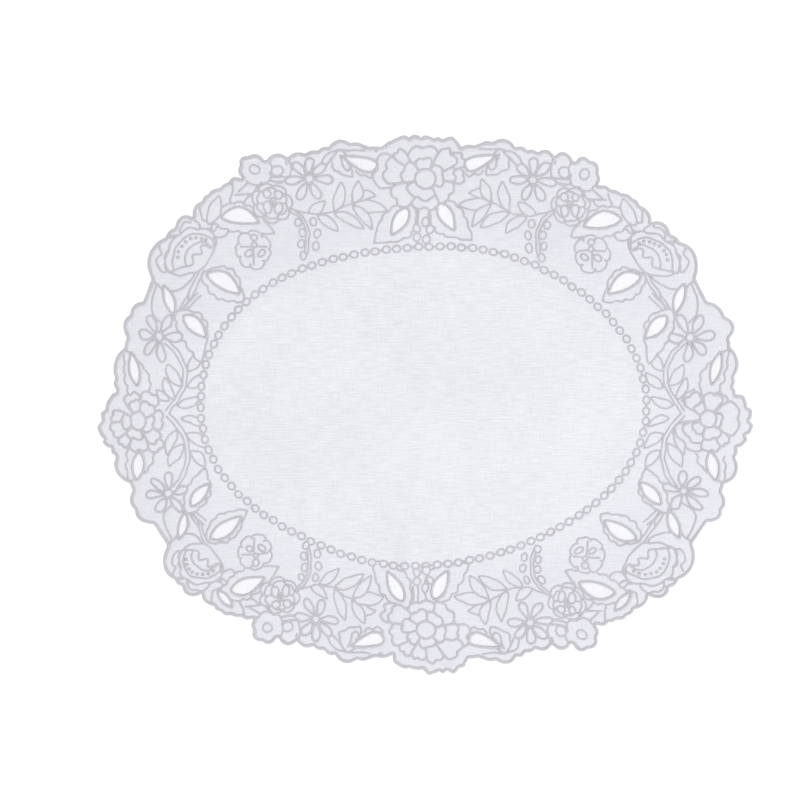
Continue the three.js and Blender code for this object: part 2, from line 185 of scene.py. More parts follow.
# The sprays at the left and right ends keep the places they were drawn at: one pair
# above the meeting of their stems, one pair below it.
END_LEAVES = table_of(Leaf, (
    ((157, 22), (148.5, 37.5), 6.8, 1.2), ((157, 11.5), (145.5, 21.5), 6.4, 1.2),
    ((164, -0.5), (148.5, 5), 6.0, 1.0), ((161, 12.5), (170.5, 27), 7.2, -1.0),
    ((165.5, 3.5), (172.5, 18.5), 5.4, -1.2), ((169, 2.5), (177.5, 10.5), 4.6, -1.0),
    ((155, -30.5), (145.5, -41), 6.8, -1.2), ((157.5, -19), (144.5, -28.5), 7.2, -1.2),
    ((161, -8.5), (146.5, -14), 5.2, -1.2), ((159.5, -26), (169.5, -41), 7.4, 1.0),
    ((163.5, -16.5), (170.8, -33), 6.0, 1.2),
))

Stem = namedtuple("Stem", "gap points")
STEMS = table_of(Stem, (
    (0, [(88, 127), (80, 125), (72, 122.8), (64, 123), (57.8, 124.5), (52, 128), (45, 131)]),
    (2.0, [(85, 126), (78.5, 120.5), (75, 113), (74.6, 105), (76, 96)]),
    (2.8, [(144.5, 90), (149.5, 80), (155, 71), (161, 62)]),
    (3.0, [(146.5, 75.5), (152, 70.5), (159.5, 63)]),
    (0, [(153, 78), (153.4, 72), (160.5, 64)]),
))
END_STEMS = table_of(Stem, (
    (2.7, [(172, 42), (164.3, 35), (159.6, 26), (158.6, 17), (161.5, 8), (170.5, -5)]),
    (2.7, [(165.5, -55), (159.8, -46), (157, -36), (157.6, -26), (161, -17), (170.5, -6)]),
))

Oval = namedtuple("Oval", "x y rx ry turn")
BEADS = table_of(Oval, (
    (70.7, 117.4, 2.0, 2.8, -12), (68.5, 109.6, 2.1, 2.8, 14), (69.3, 101.5, 2.1, 2.9, 8),
    (80.6, 116.8, 2.2, 2.7, -14), (78.0, 110.1, 2.1, 2.7, -8), (78.7, 103.0, 2.1, 2.7, 0),
    (77.4, 95.6, 2.1, 2.7, -10),
))
# The bunch of beads under the rose at the middle of each long side.
BUNCH = table_of(Oval, (
    (0, 120.8, 2.0, 2.9, 0), (-5.6, 116.5, 2.4, 2.7, 10), (3.2, 115.8, 2.3, 2.7, -10),
    (-5.6, 110.5, 2.3, 2.7, 0), (0.6, 109.6, 2.5, 2.9, 0),
))
BUNCH_STEMS = table_of(Stem, (
    (3.2, [(-6.2, 131), (-6.4, 125), (-6.4, 119.5)]),
    (2.6, [(4.6, 130), (3.6, 125), (6, 120), (6.2, 114)]),
))

Daisy = namedtuple("Daisy", "x y petals")
DAISIES = table_of(Daisy, (
    (72.3, 146, (90, 50, -5, -63, -115, 180, 135)),
    (172.5, 51.3, (59, 3, -45, -94, 188, 122)),
))
DAISY_PETAL = (12.2, 6.2)  # length and width
DAISY_EYE = 2.7
DAISY_HUB = 2.6  # the petals start this far out
DAISY_UNEVEN = 0.06  # how much longer or shorter a petal is than that

ROSETTE = (96.3, 130)
ROSETTE_RADII = (10.2, 12.9)
ROSETTE_CELLS = table_of(Oval, (
    (-0.8, 2.2, 1.3, 1.3, 0), (-4.4, 5.8, 2.6, 2.6, 0), (2.9, 6.1, 2.5, 2.7, 0),
    (-4.0, -3.1, 2.4, 3.9, 4), (2.9, -2.7, 2.5, 3.9, -4),
))
BLOSSOM = (110, 99.5)
BLOSSOM_FACE = 8.8
BLOSSOM_CROSS = [[(-9, 1.2), (-3, 1.8), (9, 1.6)], [(0, 6), (0.3, 0), (0.4, -10)]]
BLOSSOM_CELLS = table_of(Oval, (
    (-4.9, -2.6, 2.8, 1.9, -35), (3.6, -2.6, 2.8, 1.9, -35), (-0.6, 7.2, 2.4, 2.1, 20),
    (-0.6, 2.6, 1.7, 1.5, 0),
))
BLOSSOM_PETALS = [(48, 12.2), (98, 12), (152, 12), (205, 11.4), (256, 12.6), (308, 12.4), (358, 12)]
SHELL = Oval(91, 154, 7.8, 10.4, 0)
SHELL_ARC = Oval(91, 155, 5.6, 6.9, 0)
SHELL_PEARL = Oval(91.8, 152, 3.5, 3.5, 0)
SHELL_FEET = (5.6, 8.8)  # how far below its middle the two lines are
STAR = (105.5, 151.8)
STAR_RADIUS = 10.6
STAR_RING = 3.2
STAR_TURN = 38
FOLDED_LEAF = EdgedLeaf((104, 142), (138, 131), 6.5, 6.5, 4)
FOLDS = [((110, 142.6), (117.5, 136.3)), ((105.5, 135.6), (119.8, 135.4))]

# The tulip, from its own place: its cup is the brim and the keel, and its bands and front
# petals stand round its middle.
TULIP = (150, 100)
TULIP_MIDDLE = (-3, -3)
TULIP_HEART = (-3, -5)  # where its back petals start
TULIP_BRIM = [(-16.7, 10), (-12.7, 3.4), (-9, 4.6), (-5.7, 4), (-5.7, -0.6), (0.2, -0.8),
              (0.4, -6.6), (8, -8)]
TULIP_KEEL = [(15, -9.6), (8.3, -11.8), (2, -11.8), (-4, -10.8), (-9.7, -5.7), (-15.4, 4.3),
              (-16.7, 10)]
TULIP_CURL = [(-12, 4.5), (-7, 7.2), (-1.2, 5.8), (3.6, 1.4), (5.4, -3.6), (4.4, -7.6)]
TULIP_FOOT = [(9, -11), (-6, -9), (-13, 1)]
TULIP_BULGE = Oval(12.6, -4, 16, 16, 0)
TULIP_LOBE = Oval(-20, 15, 6.2, 6, 0)
TULIP_LOBE_LINE = [(-24, 15), (-20, 17.5), (-15, 14)]
KNOT_BAND = 12.9  # radius of the row of knots
KNOT_COUNT = 8
CORNER_LOBE = Oval(140, 124.5, 8.6, 8.6, 0)

# A rose stands at its place and faces the way it turns. Its petals span these angles
# from there, front to back, each with its radius. Its button is an oval.
Rose = namedtuple("Rose", "x y turn mirror button petals rim")
ROSES = [
    Rose(0, 149.2, 90, 1, (6.4, 7.0), petals=[
        (-25, 37, 14.2), (-122, -27, 12.6), (37, 103, 16.2), (106, 215, 14.4),
        (-27, 40, 22.2), (-66, -26, 25.4), (-97, -62, 20.6), (37, 58, 26.8), (53, 99, 28.4),
        (100, 151, 25.0), (148, 212, 20.8), (208, 264, 20.8),
        (-74, -46, 29.4), (-99, -70, 26.4), (55, 104, 35.0),
    ], rim=[
        (36, 64, 35.6), (19, 50, 33.4), (4, 25, 30.4),
        (-17, 11, 28.8), (-33, -8, 29.2), (-54, -22, 33.4),
    ]),
    Rose(0.5, -148.6, -90, -1, (5.6, 6.6), petals=[
        (-42, 33, 12.0), (33, 84, 13.4), (-106, -42, 13.6), (82, 122, 16.6), (122, 184, 14.2),
        (180, 256, 13.0), (-36, 0, 22.6), (-2, 34, 20.4), (-104, -66, 21.8), (-75, -35, 27.0),
        (58, 103, 24.2), (30, 62, 22.0), (100, 136, 27.0), (134, 202, 19.8), (196, 258, 21.4),
        (-100, -60, 29.6), (101, 131, 32.2),
    ], rim=[
        (20, 58, 30.4), (0, 33, 27.6), (-23, 7, 29.9),
        (-32, -15, 31), (-45, -26, 34.6), (-62, -36, 35),
    ]),
    Rose(186.8, -9.4, 0, 1, (5.6, 5.6), petals=[
        (-50, 34, 9.6), (-41, 43, 21.2), (50, 104, 17.6), (104, 150, 12.6), (196, 250, 12.2),
        (-110, -42, 14.0), (42, 78, 19.6), (-68, -40, 20.8), (108, 152, 20.6), (190, 258, 18.6),
        (-106, -62, 21.8), (186, 262, 24.0),
    ], rim=[
        (40, 66, 27), (12, 44, 28.2), (-5, 21, 29.6),
        (-25, 1, 30.2), (-47, -19, 29.4), (-68, -42, 30.4),
    ]),
    Rose(-189.6, -10.6, 180, -1, (5.0, 6.2), petals=[
        (-38, 32, 11.0), (-44, -2, 19.4), (-5, 30, 18.2), (58, 99, 14.0), (98, 156, 14.2),
        (-108, -44, 12.8), (150, 240, 11.0), (54, 96, 19.0), (96, 142, 20.8), (-70, -42, 20.0),
        (-114, -70, 20.6), (208, 246, 19.0), (150, 206, 17.0), (218, 250, 24.4),
    ], rim=[
        (12, 66, 24.6), (-4, 22, 25), (-32, 3, 27.4),
        (-47, -24, 27.6), (-66, -42, 27.6),
    ]),
]

# The ring of chain links round the plain middle. The hand pushed it outwards by these
# amounts, each at an angle and over a spread of angles to either side.
CHAIN_RADII = (147.6, 105.0)
CHAIN_CENTRE = (-1.5, -0.5)
CHAIN_LINKS = 112
CHAIN_LINK = (2.6, 2.2)
CHAIN_JOINT = 1.15  # from the middle between two links to the end of their joint
CHAIN_SWAY = 0.25  # how far a link sits off its place
CHAIN_TWIST = 8  # how many degrees it turns for each millimetre of that
Push = namedtuple("Push", "angle spread amount")
CHAIN_PUSHES = table_of(Push, (
    (100, 16, -1.4), (82, 10, 0.6), (68, 12, 2.0), (138, 20, 3.2), (178, 10, -1.2), (232, 14, -1.8),
    (260, 10, 1.6), (308, 16, -2.6),
))

# --- plane shapes


def points(*rows):
    return np.array(rows, float)


def xy(x, y):
    """Points from their two coordinates."""
    return np.stack([x, y], 1)


def polar(radius, degrees):
    angle = np.radians(degrees)
    return xy(radius * np.cos(angle), radius * np.sin(angle))


def moved(shape, x, y, turn=0.0, flip=1):
    """Turns a shape about the origin, then moves it. flip = -1 mirrors it in X first."""
    c, s = math.cos(math.radians(turn)), math.sin(math.radians(turn))
    px, py = shape[:, 0], shape[:, 1] * flip
    return xy(x + c * px - s * py, y + s * px + c * py)


def oval(row, steps=40):
    circle = polar(1.0, np.linspace(0, 360, steps, endpoint=False))
    return moved(circle * (row.rx, row.ry), row.x, row.y, row.turn)


def disc(x, y, radius, steps=40):
    return oval(Oval(x, y, radius, radius, 0), steps)


def closed(shape):
    return np.concatenate([shape, shape[:1]])


def curve_through(rows, steps=8):
    """An open curve through the points (Catmull-Rom)."""
    p = np.asarray(rows, float)
    q = np.concatenate([2 * p[:1] - p[1:2], p, 2 * p[-1:] - p[-2:-1]])
    t = np.linspace(0, 1, steps, endpoint=False)[:, None]
    spans = []
    for a, b, c, d in zip(q, q[1:], q[2:], q[3:]):
        bend = (c - a) * t + (2 * a - 5 * b + 4 * c - d) * t**2 + (3 * b - a - 3 * c + d) * t**3
        spans.append(b + bend / 2)
    return np.concatenate(spans + [p[-1:]])


def pointed(length, left, right, bow=0.0):
    """A leaf along X, pointed at both ends, with these half widths and a bowed midrib."""
    t = np.linspace(0, 1, len(left))
    middle = 4 * bow * t * (1 - t)
    upper = xy(length * t, middle + left)
    lower = xy(length * t, middle - right)[::-1][1:-1]
    return np.concatenate([upper, lower])


def swelling(t, blunt=1.0):
    """How wide a leaf is along its length. Below 1, blunt moves the widest place to its base."""
    return np.maximum(np.sin(np.pi * t**blunt), 0)


def blade(length, width, bow=0.0):
    half = width / 2 * swelling(np.linspace(0, 1, 17), 0.9) ** 0.85
    return pointed(length, half, half, bow)


def scalloped_blade(length, left, right, scallops):
    t = np.linspace(0, 1, 8 * scallops + 1)
    swell = swelling(t, 0.85)
    edge = SCALLOP_DEPTH * np.abs(np.sin(scallops * np.pi * t)) * swell**0.5
    return pointed(length, left * swell + edge, right * swell + edge)


def fan(start, end, radius, notch, inner, shoulder=0.22, wave=0.0):
    """A petal that fans out from the origin, with a notch in the middle of its rim."""
    t = np.linspace(0, 1, 31)
    rise = np.maximum(np.sin(np.pi * t), 0) ** shoulder
    dent = notch * np.exp(-(((t - 0.5) / 0.09) ** 2))
    ripple = wave * np.sin(4 * np.pi * t)
    reach = radius * (inner + (1 - inner) * rise) * (1 - dent + ripple)
    return np.concatenate([polar(reach, start + (end - start) * t), points((0, 0))])


def teardrop(length, width):
    """A petal along X, narrow at the origin and round at its far end."""
    u = np.linspace(0, 2 * np.pi, 36, endpoint=False)
    share = (1 - np.cos(u)) / 2
    return xy(length * share, 0.56 * width * np.sin(u) * share**0.45)


def heading(x, y):
    """Which way a step of x and y goes, in degrees."""
    return math.degrees(math.atan2(y, x))


def between(make, base, tip):
    """Lays the shape that make(length) gives from one point to another."""
    run = (tip[0] - base[0], tip[1] - base[1])
    return moved(make(math.hypot(*run)), *base, heading(*run))


def inside(outline, p):
    """Which of the points p lie inside a closed outline."""
    x, y = p[:, :1], p[:, 1:]
    (ax, ay), (bx, by) = outline.T, np.roll(outline, -1, axis=0).T
    crossing = (ay > y) != (by > y)
    slope = (bx - ax) / np.where(ay == by, 1, by - ay)
    return (crossing & (x < ax + slope * (y - ay))).sum(1) % 2 == 1


def boxes_meet(a, b, margin=0.0):
    return (a.max(0) > b.min(0) - margin).all() and (a.min(0) < b.max(0) + margin).all()


def lengths(path):
    """How far along a path each of its points lies."""
    steps = np.hypot(*np.diff(path, axis=0).T)
    return np.concatenate([[0], np.cumsum(steps)])


def spots_at(path, s, wanted):
    """The places on a path at these distances along it."""
    return xy(np.interp(wanted, s, path[:, 0]), np.interp(wanted, s, path[:, 1]))


def resampled(path, step):
    """The same path with its points evenly spaced. A closed path repeats its first point."""
    s = lengths(path)
    return spots_at(path, s, np.linspace(0, s[-1], max(3, round(s[-1] / step) + 1)))


def softened(path, rounds):
    """Rounds a path's corners. A closed path stays closed."""
    loop = np.allclose(path[0], path[-1])
    for _ in range(rounds):
        if loop:
            ring = path[:-1]
            path = closed((np.roll(ring, 1, axis=0) + 2 * ring + np.roll(ring, -1, axis=0)) / 4)
        else:
            path = np.concatenate([path[:1], (path[:-2] + 2 * path[1:-1] + path[2:]) / 4, path[-1:]])
    return path


def sides(path):
    """The direction to the left of a path at each of its points."""
    if np.allclose(path[0], path[-1]):
        ahead = closed(np.roll(path[:-1], -1, axis=0) - np.roll(path[:-1], 1, axis=0))
    else:
        ahead = np.gradient(path, axis=0)
    ahead /= np.maximum(np.hypot(*ahead.T), 1e-9)[:, None]
    return xy(-ahead[:, 1], ahead[:, 0])


# --- the hand's drift


def broad_drift(p):
    """How far the broad drift moves points of the symmetrical design."""
    x, y = p[:, 0], p[:, 1]
    angle = np.arctan2(y / HALF_WIDTH, x / HALF_LENGTH)
    reach = np.minimum(np.hypot(x / HALF_LENGTH, y / HALF_WIDTH) / FULL_DRIFT, 1)
    slip, rise = np.zeros(len(p)), np.zeros(len(p))
    for quarter in QUARTERS:
        here = (quarter.x * x >= 0) & (quarter.y * y >= 0)
        slip[here], rise[here] = quarter.slip, quarter.rise
    diagonal = np.abs(np.sin(2 * angle))
    side = np.cos(angle) ** 2
    dx = WANDER * np.sin(y / 31 + x / 57 + 1) + slip * diagonal**2 + SIDE_SLIP * side
    dy = WANDER * np.sin(x / 37 - y / 61 + 2) + rise * diagonal - SIDE_DROP * side
    return xy(dx * reach, dy * reach)


def all_pulls():
    """What is left between each motif's place and where the broad drift takes it."""
    signs = [(quarter.x, quarter.y) for quarter in QUARTERS]
    middles = np.concatenate([points(*(row.design for row in PLACES)) * sign for sign in signs])
    drawn = np.concatenate([points(*(getattr(row, quarter.name) for row in PLACES)) * sign
                            for quarter, sign in zip(QUARTERS, signs)])
    return middles, drawn - middles - broad_drift(middles)


MIDDLES, PULLS = all_pulls()


def drifted(p):
    """Moves points of the symmetrical design to where the hand drew them."""
    gaps = ((p[:, None] - MIDDLES[None]) ** 2).sum(2)
    weights = np.exp(-0.5 * gaps / PULL_REACH**2)
    return p + broad_drift(p) + weights @ PULLS / (weights.sum(1) + PULL_LOOSENESS)[:, None]


def trembled(p):
    """The small unevenness of a line that is stitched by hand."""
    x, y = p[:, 0], p[:, 1]
    dx = np.sin(y / 1.9 + 2 * np.sin(x / 5.3)) + 0.6 * np.sin(x / 1.3 + y / 2.1)
    dy = np.sin(x / 1.7 + 2 * np.sin(y / 4.7)) + 0.6 * np.sin(y / 1.2 - x / 2.3)
    return p + TREMBLE * xy(dx, dy)


# --- motifs

# A patch hides the lines behind it. Its outline is stitched unless it is plain, and so are
# the lines and knots on it. An outline of None hides nothing.
Patch = namedtuple("Patch", "group layer outline lines knots plain step",
                   defaults=((), (), False, 0))
# Front to back. In one layer, patches with a lower step are in front.
LAYERS = (
    "rose button", "rose petals", "rose rim", "flower eyes", "blossom face", "inner petals",
    "outer petals", "beads", "tulip front", "star", "shell", "chain links", "corner leaf",
    "curl", "edged leaves", "tulip back", "small leaves", "folded leaf", "stems",
    "beside rose", "corner lobe", "chain joints",
)


def stacked(group, layer, outlines, **more):
    """One patch for each outline, each a step behind the one before."""
    return [Patch(group, layer, outline, step=i, **more) for i, outline in enumerate(outlines)]


def drawn_lines(group, layer, paths):
    return Patch(group, layer, None, [curve_through(path) for path in paths])


def changed(patches, move):
    """The same patches with each of their shapes moved."""
    return [patch._replace(
        outline=None if patch.outline is None else move(patch.outline),
        lines=[move(line) for line in patch.lines],
        knots=[move(points(knot))[0] for knot in patch.knots],
    ) for patch in patches]


def placed(patches, x, y, turn=0.0, flip=1):
    return changed(patches, lambda shape: moved(shape, x, y, turn, flip))


def rose(row):
    petals = [fan(*petal, notch=0.08, wave=0.015, inner=0.62, shoulder=0.2) for petal in row.petals]
    rim = [fan(*petal, notch=0.02, wave=0.012, inner=0.6, shoulder=0.3) for petal in row.rim]
    patches = stacked("roses", "rose button", [oval(Oval(0, 0, *row.button, 0))])
    patches += stacked("roses", "rose petals", petals)
    patches += stacked("roses", "rose rim", rim, plain=True)
    return placed(patches, row.x, row.y, row.turn, row.mirror)


def daisy(row):
    length, width = DAISY_PETAL
    petals = []
    for i, turn in enumerate(row.petals):
        stretch = 1 + DAISY_UNEVEN * math.sin(3.0 * i)
        petal = moved(teardrop(length * stretch, width), DAISY_HUB, 0)
        petals.append(moved(petal, 0, 0, turn))
    patches = stacked("daisies", "flower eyes", [disc(0, 0, DAISY_EYE)])
    return placed(patches + stacked("daisies", "outer petals", petals), row.x, row.y)


def rosette():
    """Rings and ovals round an eye, six petals round them and seven behind those."""
    small, large = ROSETTE_RADII
    inner = [fan(60 * i - 3, 60 * i + 63, small, notch=0.05, inner=0.6, shoulder=0.3)
             for i in range(6)]
    outer = [fan(51.4 * i - 12, 51.4 * i + 48, large, notch=0, inner=0.6, shoulder=0.35)
             for i in range(7)]
    patches = [Patch("small_flowers", "flower eyes", oval(cell, 20)) for cell in ROSETTE_CELLS]
    patches += stacked("small_flowers", "inner petals", inner)
    return placed(patches + stacked("small_flowers", "outer petals", outer), *ROSETTE)


def blossom():
    """A cross of lines with rings on it, and a scalloped edge of seven petals."""
    cross = [points(*line) for line in BLOSSOM_CROSS]
    petals = [fan(turn - 30, turn + 30, radius, notch=0.03, inner=0.66, shoulder=0.35)
              for turn, radius in BLOSSOM_PETALS]
    patches = [Patch("small_flowers", "flower eyes", oval(cell, 20)) for cell in BLOSSOM_CELLS]
    face = disc(0, 0, BLOSSOM_FACE)
    patches.append(Patch("small_flowers", "blossom face", face, cross, plain=True))
    return placed(patches + stacked("small_flowers", "outer petals", petals), *BLOSSOM)


def star():
    """Six round points and a ring in their middle."""
    angle = np.linspace(0, 360, 72, endpoint=False)
    reach = STAR_RADIUS * (0.87 + 0.17 * np.abs(np.cos(np.radians(3 * angle))) ** 0.7)
    ring = closed(disc(0, 0, STAR_RING, 24))
    patches = stacked("small_flowers", "star", [polar(reach, angle)], lines=[ring])
    return placed(patches, *STAR, STAR_TURN)


def shell():
    """An oval with a pearl on it, an arc inside its top and two lines across its foot."""
    lines = [oval(SHELL_ARC)[1:20], closed(oval(SHELL_PEARL, 24))]
    for drop in SHELL_FEET:
        y = SHELL.y - drop
        lines.append(curve_through([(SHELL.x - 9, y), (SHELL.x, y - 0.8), (SHELL.x + 7, y)]))
    return stacked("small_flowers", "shell", [oval(SHELL)], lines=lines)


def band(radius, start, end, swell=0.0, waves=1):
    """A band of the tulip: an arc round its middle, closed below its cup."""
    t = np.linspace(0, 1, 40)
    reach = radius * (1 + swell * np.abs(np.sin(waves * np.pi * t)))
    arc = moved(polar(reach, start + (end - start) * t), *TULIP_MIDDLE)
    return np.concatenate([arc, points(*TULIP_FOOT)])


def tulip():
    """A bloom in profile: a cup, three bands, and petals and a lobe behind them."""
    cup = np.concatenate([curve_through(TULIP_BRIM, 5), curve_through(TULIP_KEEL, 5)[:-1]])
    front = stacked("tulips", "tulip front", [
        cup,
        band(10.2, 150, -32),
        band(15.6, 138, -30),
        band(18.8, 130, -20, 0.07, 4),
        moved(fan(-24, 24, 21, notch=0.05, inner=0.62), *TULIP_MIDDLE),
        moved(fan(-18, 42, 26, notch=0.12, inner=0.62), *TULIP_MIDDLE),
    ])
    knots = moved(polar(KNOT_BAND, np.linspace(119, 6, KNOT_COUNT)), *TULIP_MIDDLE)
    front[1] = front[1]._replace(lines=[curve_through(TULIP_CURL, 6)], plain=True)
    front[2] = front[2]._replace(knots=knots)
    back = stacked("tulips", "tulip back", [
        oval(TULIP_BULGE),
        moved(fan(58, 102, 27, notch=0.05, inner=0.5, shoulder=0.25), *TULIP_HEART),
        moved(fan(30, 66, 27, notch=0, inner=0.5, shoulder=0.25), *TULIP_HEART),
        oval(TULIP_LOBE),
    ])
    back[3] = back[3]._replace(lines=[curve_through(TULIP_LOBE_LINE, 6)])
    return placed(front + back, *TULIP)


def edged_leaf(leaf, layer="edged leaves", folds=()):
    def make(length):
        return scalloped_blade(length, leaf.left, leaf.right, leaf.scallops)

    lines = [points(*fold) for fold in folds]
    return Patch("leaves", layer, between(make, leaf.base, leaf.tip), lines)


def small_leaf(leaf, layer="small leaves"):
    outline = between(lambda length: blade(length, leaf.width, leaf.bow), leaf.base, leaf.tip)
    return Patch("sprays", layer, outline)


def stem(row):
    middle = curve_through(row.points)
    offset = sides(middle) * row.gap / 2
    lines = [middle + offset, middle - offset] if row.gap else [middle]
    return Patch("sprays", "stems", None, lines)


def beads(rows):
    return [Patch("sprays", "beads", oval(row, 24)) for row in rows]


def quarter_patches():
    """The motifs that every quarter repeats and the hand drifts."""
    patches = rosette() + blossom() + star() + shell() + tulip()
    patches.append(edged_leaf(FOLDED_LEAF, "folded leaf", FOLDS))
    for row in DAISIES:
        patches += daisy(row)
    patches += [edged_leaf(leaf) for leaf in EDGED_LEAVES]
    patches += [small_leaf(leaf) for leaf in SPRAY_LEAVES]
    patches += beads(BEADS)
    patches += [stem(row) for row in STEMS]
    patches.append(drawn_lines("leaves", "curl", [CURL]))
    patches.append(drawn_lines("leaves", "beside rose", BESIDE_ROSE))
    patches += stacked("leaves", "corner lobe", [oval(CORNER_LOBE)])
    return patches


def chain_patches():
    """Oval links end to end round an oval, evenly spaced along it."""
    angle = np.linspace(0, 360, 4000)
    push = 0
    for row in CHAIN_PUSHES:
        away = (angle - row.angle + 180) % 360 - 180
        push = push + row.amount * np.exp(-0.5 * (away / row.spread) ** 2)
    track = polar(1.0, angle) * CHAIN_RADII + polar(push, angle) + CHAIN_CENTRE
    s = lengths(track)
    left = sides(track)
    patches = []
    for k in range(CHAIN_LINKS):
        at = np.searchsorted(s, (k + 0.5) * s[-1] / CHAIN_LINKS)
        sway = CHAIN_SWAY * math.sin(2.3 * k)
        tilt = heading(left[at, 1], -left[at, 0]) + CHAIN_TWIST * sway
        link = oval(Oval(*(track[at] + sway), *CHAIN_LINK, tilt), 24)
        patches.append(Patch("chain", "chain links", link))
        middle = s[at] + s[-1] / CHAIN_LINKS / 2
        ends = np.array([middle - CHAIN_JOINT, middle + CHAIN_JOINT]) % s[-1]
        patches.append(Patch("chain", "chain joints", None, [spots_at(track, s, ends)]))
    return patches


def all_patches():
    """The whole border, front to back."""
    quarter = quarter_patches()
    ends = [small_leaf(leaf) for leaf in END_LEAVES]
    ends += [stem(row) for row in END_STEMS]
    bunch = beads(BUNCH) + [stem(row) for row in BUNCH_STEMS]
    patches = []
    for side in QUARTERS:
        design = quarter if side.y < 0 else quarter + [small_leaf(CORNER_LEAF, "corner leaf")]
        patches += changed(design, lambda p: trembled(drifted(p * (side.x, side.y))))
    for x in (1, -1):
        patches += changed(ends, lambda p: trembled(p * (x, 1)))
    for row in ROSES:
        patches += changed(rose(row), trembled)
    for y in (1, -1):
        patches += changed(bunch, lambda p: trembled(p * (1, y)))
    patches += chain_patches()
    return sorted(patches, key=lambda patch: (LAYERS.index(patch.layer), patch.step))


# --- the frame's outlines


def top_loops(node):
    """The closed outlines, in millimetres, of the flat top of a CAD node."""
    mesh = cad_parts[node].data
    spots = np.array([v.co for v in mesh.vertices]) / MM
    keys, same = np.unique(np.round(spots, 3), axis=0, return_inverse=True)
    same = same.reshape(-1)
    top = keys[:, 2].max()
    edges = set()
    for face in mesh.polygons:
        ring = [int(same[v]) for v in face.vertices]
        if all(abs(keys[v][2] - top) < 1e-3 for v in ring):
            edges.update(zip(ring, ring[1:] + ring[:1]))
    following = {a: b for a, b in edges if (b, a) not in edges}
    loops = []
    while following:
        start, at = next(iter(following.items()))
        loop = [start]
        del following[start]
        while at != start:
            loop.append(at)
            at = following.pop(at)
        loops.append(keys[loop][:, :2])
    return sorted(loops, key=lambda loop: -len(loop))


def even_loop(loop, step, rounds):
    """A closed, rounded path along a CAD outline."""
    return softened(resampled(closed(loop), step), rounds)


def loop_area(loop):
    x, y = loop[:, 0], loop[:, 1]
    return (x @ np.roll(y, -1) - y @ np.roll(x, -1)) / 2


# --- what is stitched

linen_loops = top_loops("linen_ground")
outer = even_loop(linen_loops[0], CORD_STEP / 2, 2)
if loop_area(outer[:-1]) < 0:
    outer = outer[::-1]
rim_line = softened(outer + sides(outer) * RIM_INSET * CORD_WIDTHS["rim"], 2)
openings = [even_loop(loop, CORD_STEP / 2, 1) for loop in linen_loops[1:]]


def near(path, other, distance, beside=False):
    """Which points of a path lie this near another one, or only where it runs beside it."""
    found = np.zeros(len(path), bool)
    low, high = path.min(0) - distance, path.max(0) + distance
    close = np.flatnonzero(((other > low) & (other < high)).all(1))
    if not len(close):
        return found
    gaps = np.hypot(*(path[:, None] - other[close][None]).transpose(2, 0, 1))
    nearest = gaps.argmin(1)
    found = gaps[np.arange(len(path)), nearest] < distance
    if beside:
        across = sides(other)[close][nearest]
        found &= np.abs((sides(path) * across).sum(1)) > BESIDE
    return found


def runs(line, fronts):
    """The stretches of a line that nothing in front of it, no edge and no net hides."""
    path = resampled(line, CORD_STEP / 2)
    hidden = ~inside(outer, path)
    for front in fronts + openings:
        if boxes_meet(front, path):
            hidden |= inside(front, path)
    hidden |= near(path, rim_line, RIM_GAP)
    hidden |= near(path, rim_line, RIM_SIDE_GAP, beside=True)
    for opening in openings:
        if boxes_meet(opening, path, OPENING_GAP):
            hidden |= near(path, opening, OPENING_GAP)
    shown = np.flatnonzero(~hidden)
    if len(shown) == len(path):
        return [path]
    parts = np.split(shown, np.flatnonzero(np.diff(shown) > 1) + 1)
    found = [path[part] for part in parts if len(part) > 1]
    if len(found) > 1 and np.allclose(path[0], path[-1]) and not hidden[0]:
        found = [np.concatenate([found[-1], found[0][1:]])] + found[1:-1]
    return [run for run in found if lengths(run)[-1] > HIDDEN_RUN]


def stitched_lines():
    """The paths of the cords in each group, and the places of the knots."""
    lines = {group: [] for group in CORD_WIDTHS}
    knots, fronts = [], []
    for patch in all_patches():
        drawn = list(patch.lines)
        if patch.outline is not None and not patch.plain:
            drawn.append(closed(patch.outline))
        for line in drawn:
            lines[patch.group] += runs(line, fronts)
        for knot in patch.knots:
            if not any(inside(front, points(knot))[0] for front in fronts):
                knots.append(knot)
        if patch.outline is not None:
            fronts.append(patch.outline)
    lines["rim"].append(rim_line)
    lines["net_rims"] += openings
    return lines, knots


# --- meshes


def lift(p):
    """How far the cloth's underside stands off the table: it never lies quite flat."""
    x, y = p[:, 0], p[:, 1]
    swell = 1 + 0.6 * np.sin(x / 43 + 0.8) * np.sin(y / 37 + 0.3) + 0.4 * np.sin(x / 19 + y / 23)
    out = np.clip(np.hypot(x / HALF_LENGTH, y / HALF_WIDTH), 0, 1)
    edge = np.maximum(0, np.sin(5 * np.arctan2(y, x) + 1.3 * np.sin(3 * np.arctan2(y, x)))) * out**6
    return CLOTH_FLOOR_GAP + 0.07 * swell + 0.22 * edge


def add_object(name, data):
    thing = bpy.data.objects.new(name, data)
    bpy.context.scene.collection.objects.link(thing)
    return thing


def add_piece(name, co, faces, material, uv=None):
    """A mesh piece from points in millimetres, riding on the mat's one body."""
    mesh = bpy.data.meshes.new(name)
    mesh.from_pydata((np.asarray(co) * MM).tolist(), [], faces)
    if uv is not None:
        layer = mesh.uv_layers.new(name="UVMap")
        layer.data.foreach_set("uv", np.asarray(uv, np.float32).reshape(-1))
    mesh.polygons.foreach_set("use_smooth", [True] * len(mesh.polygons))
    mesh.materials.append(material)
    piece = add_object(name, mesh)
    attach(piece, "root")
    return piece


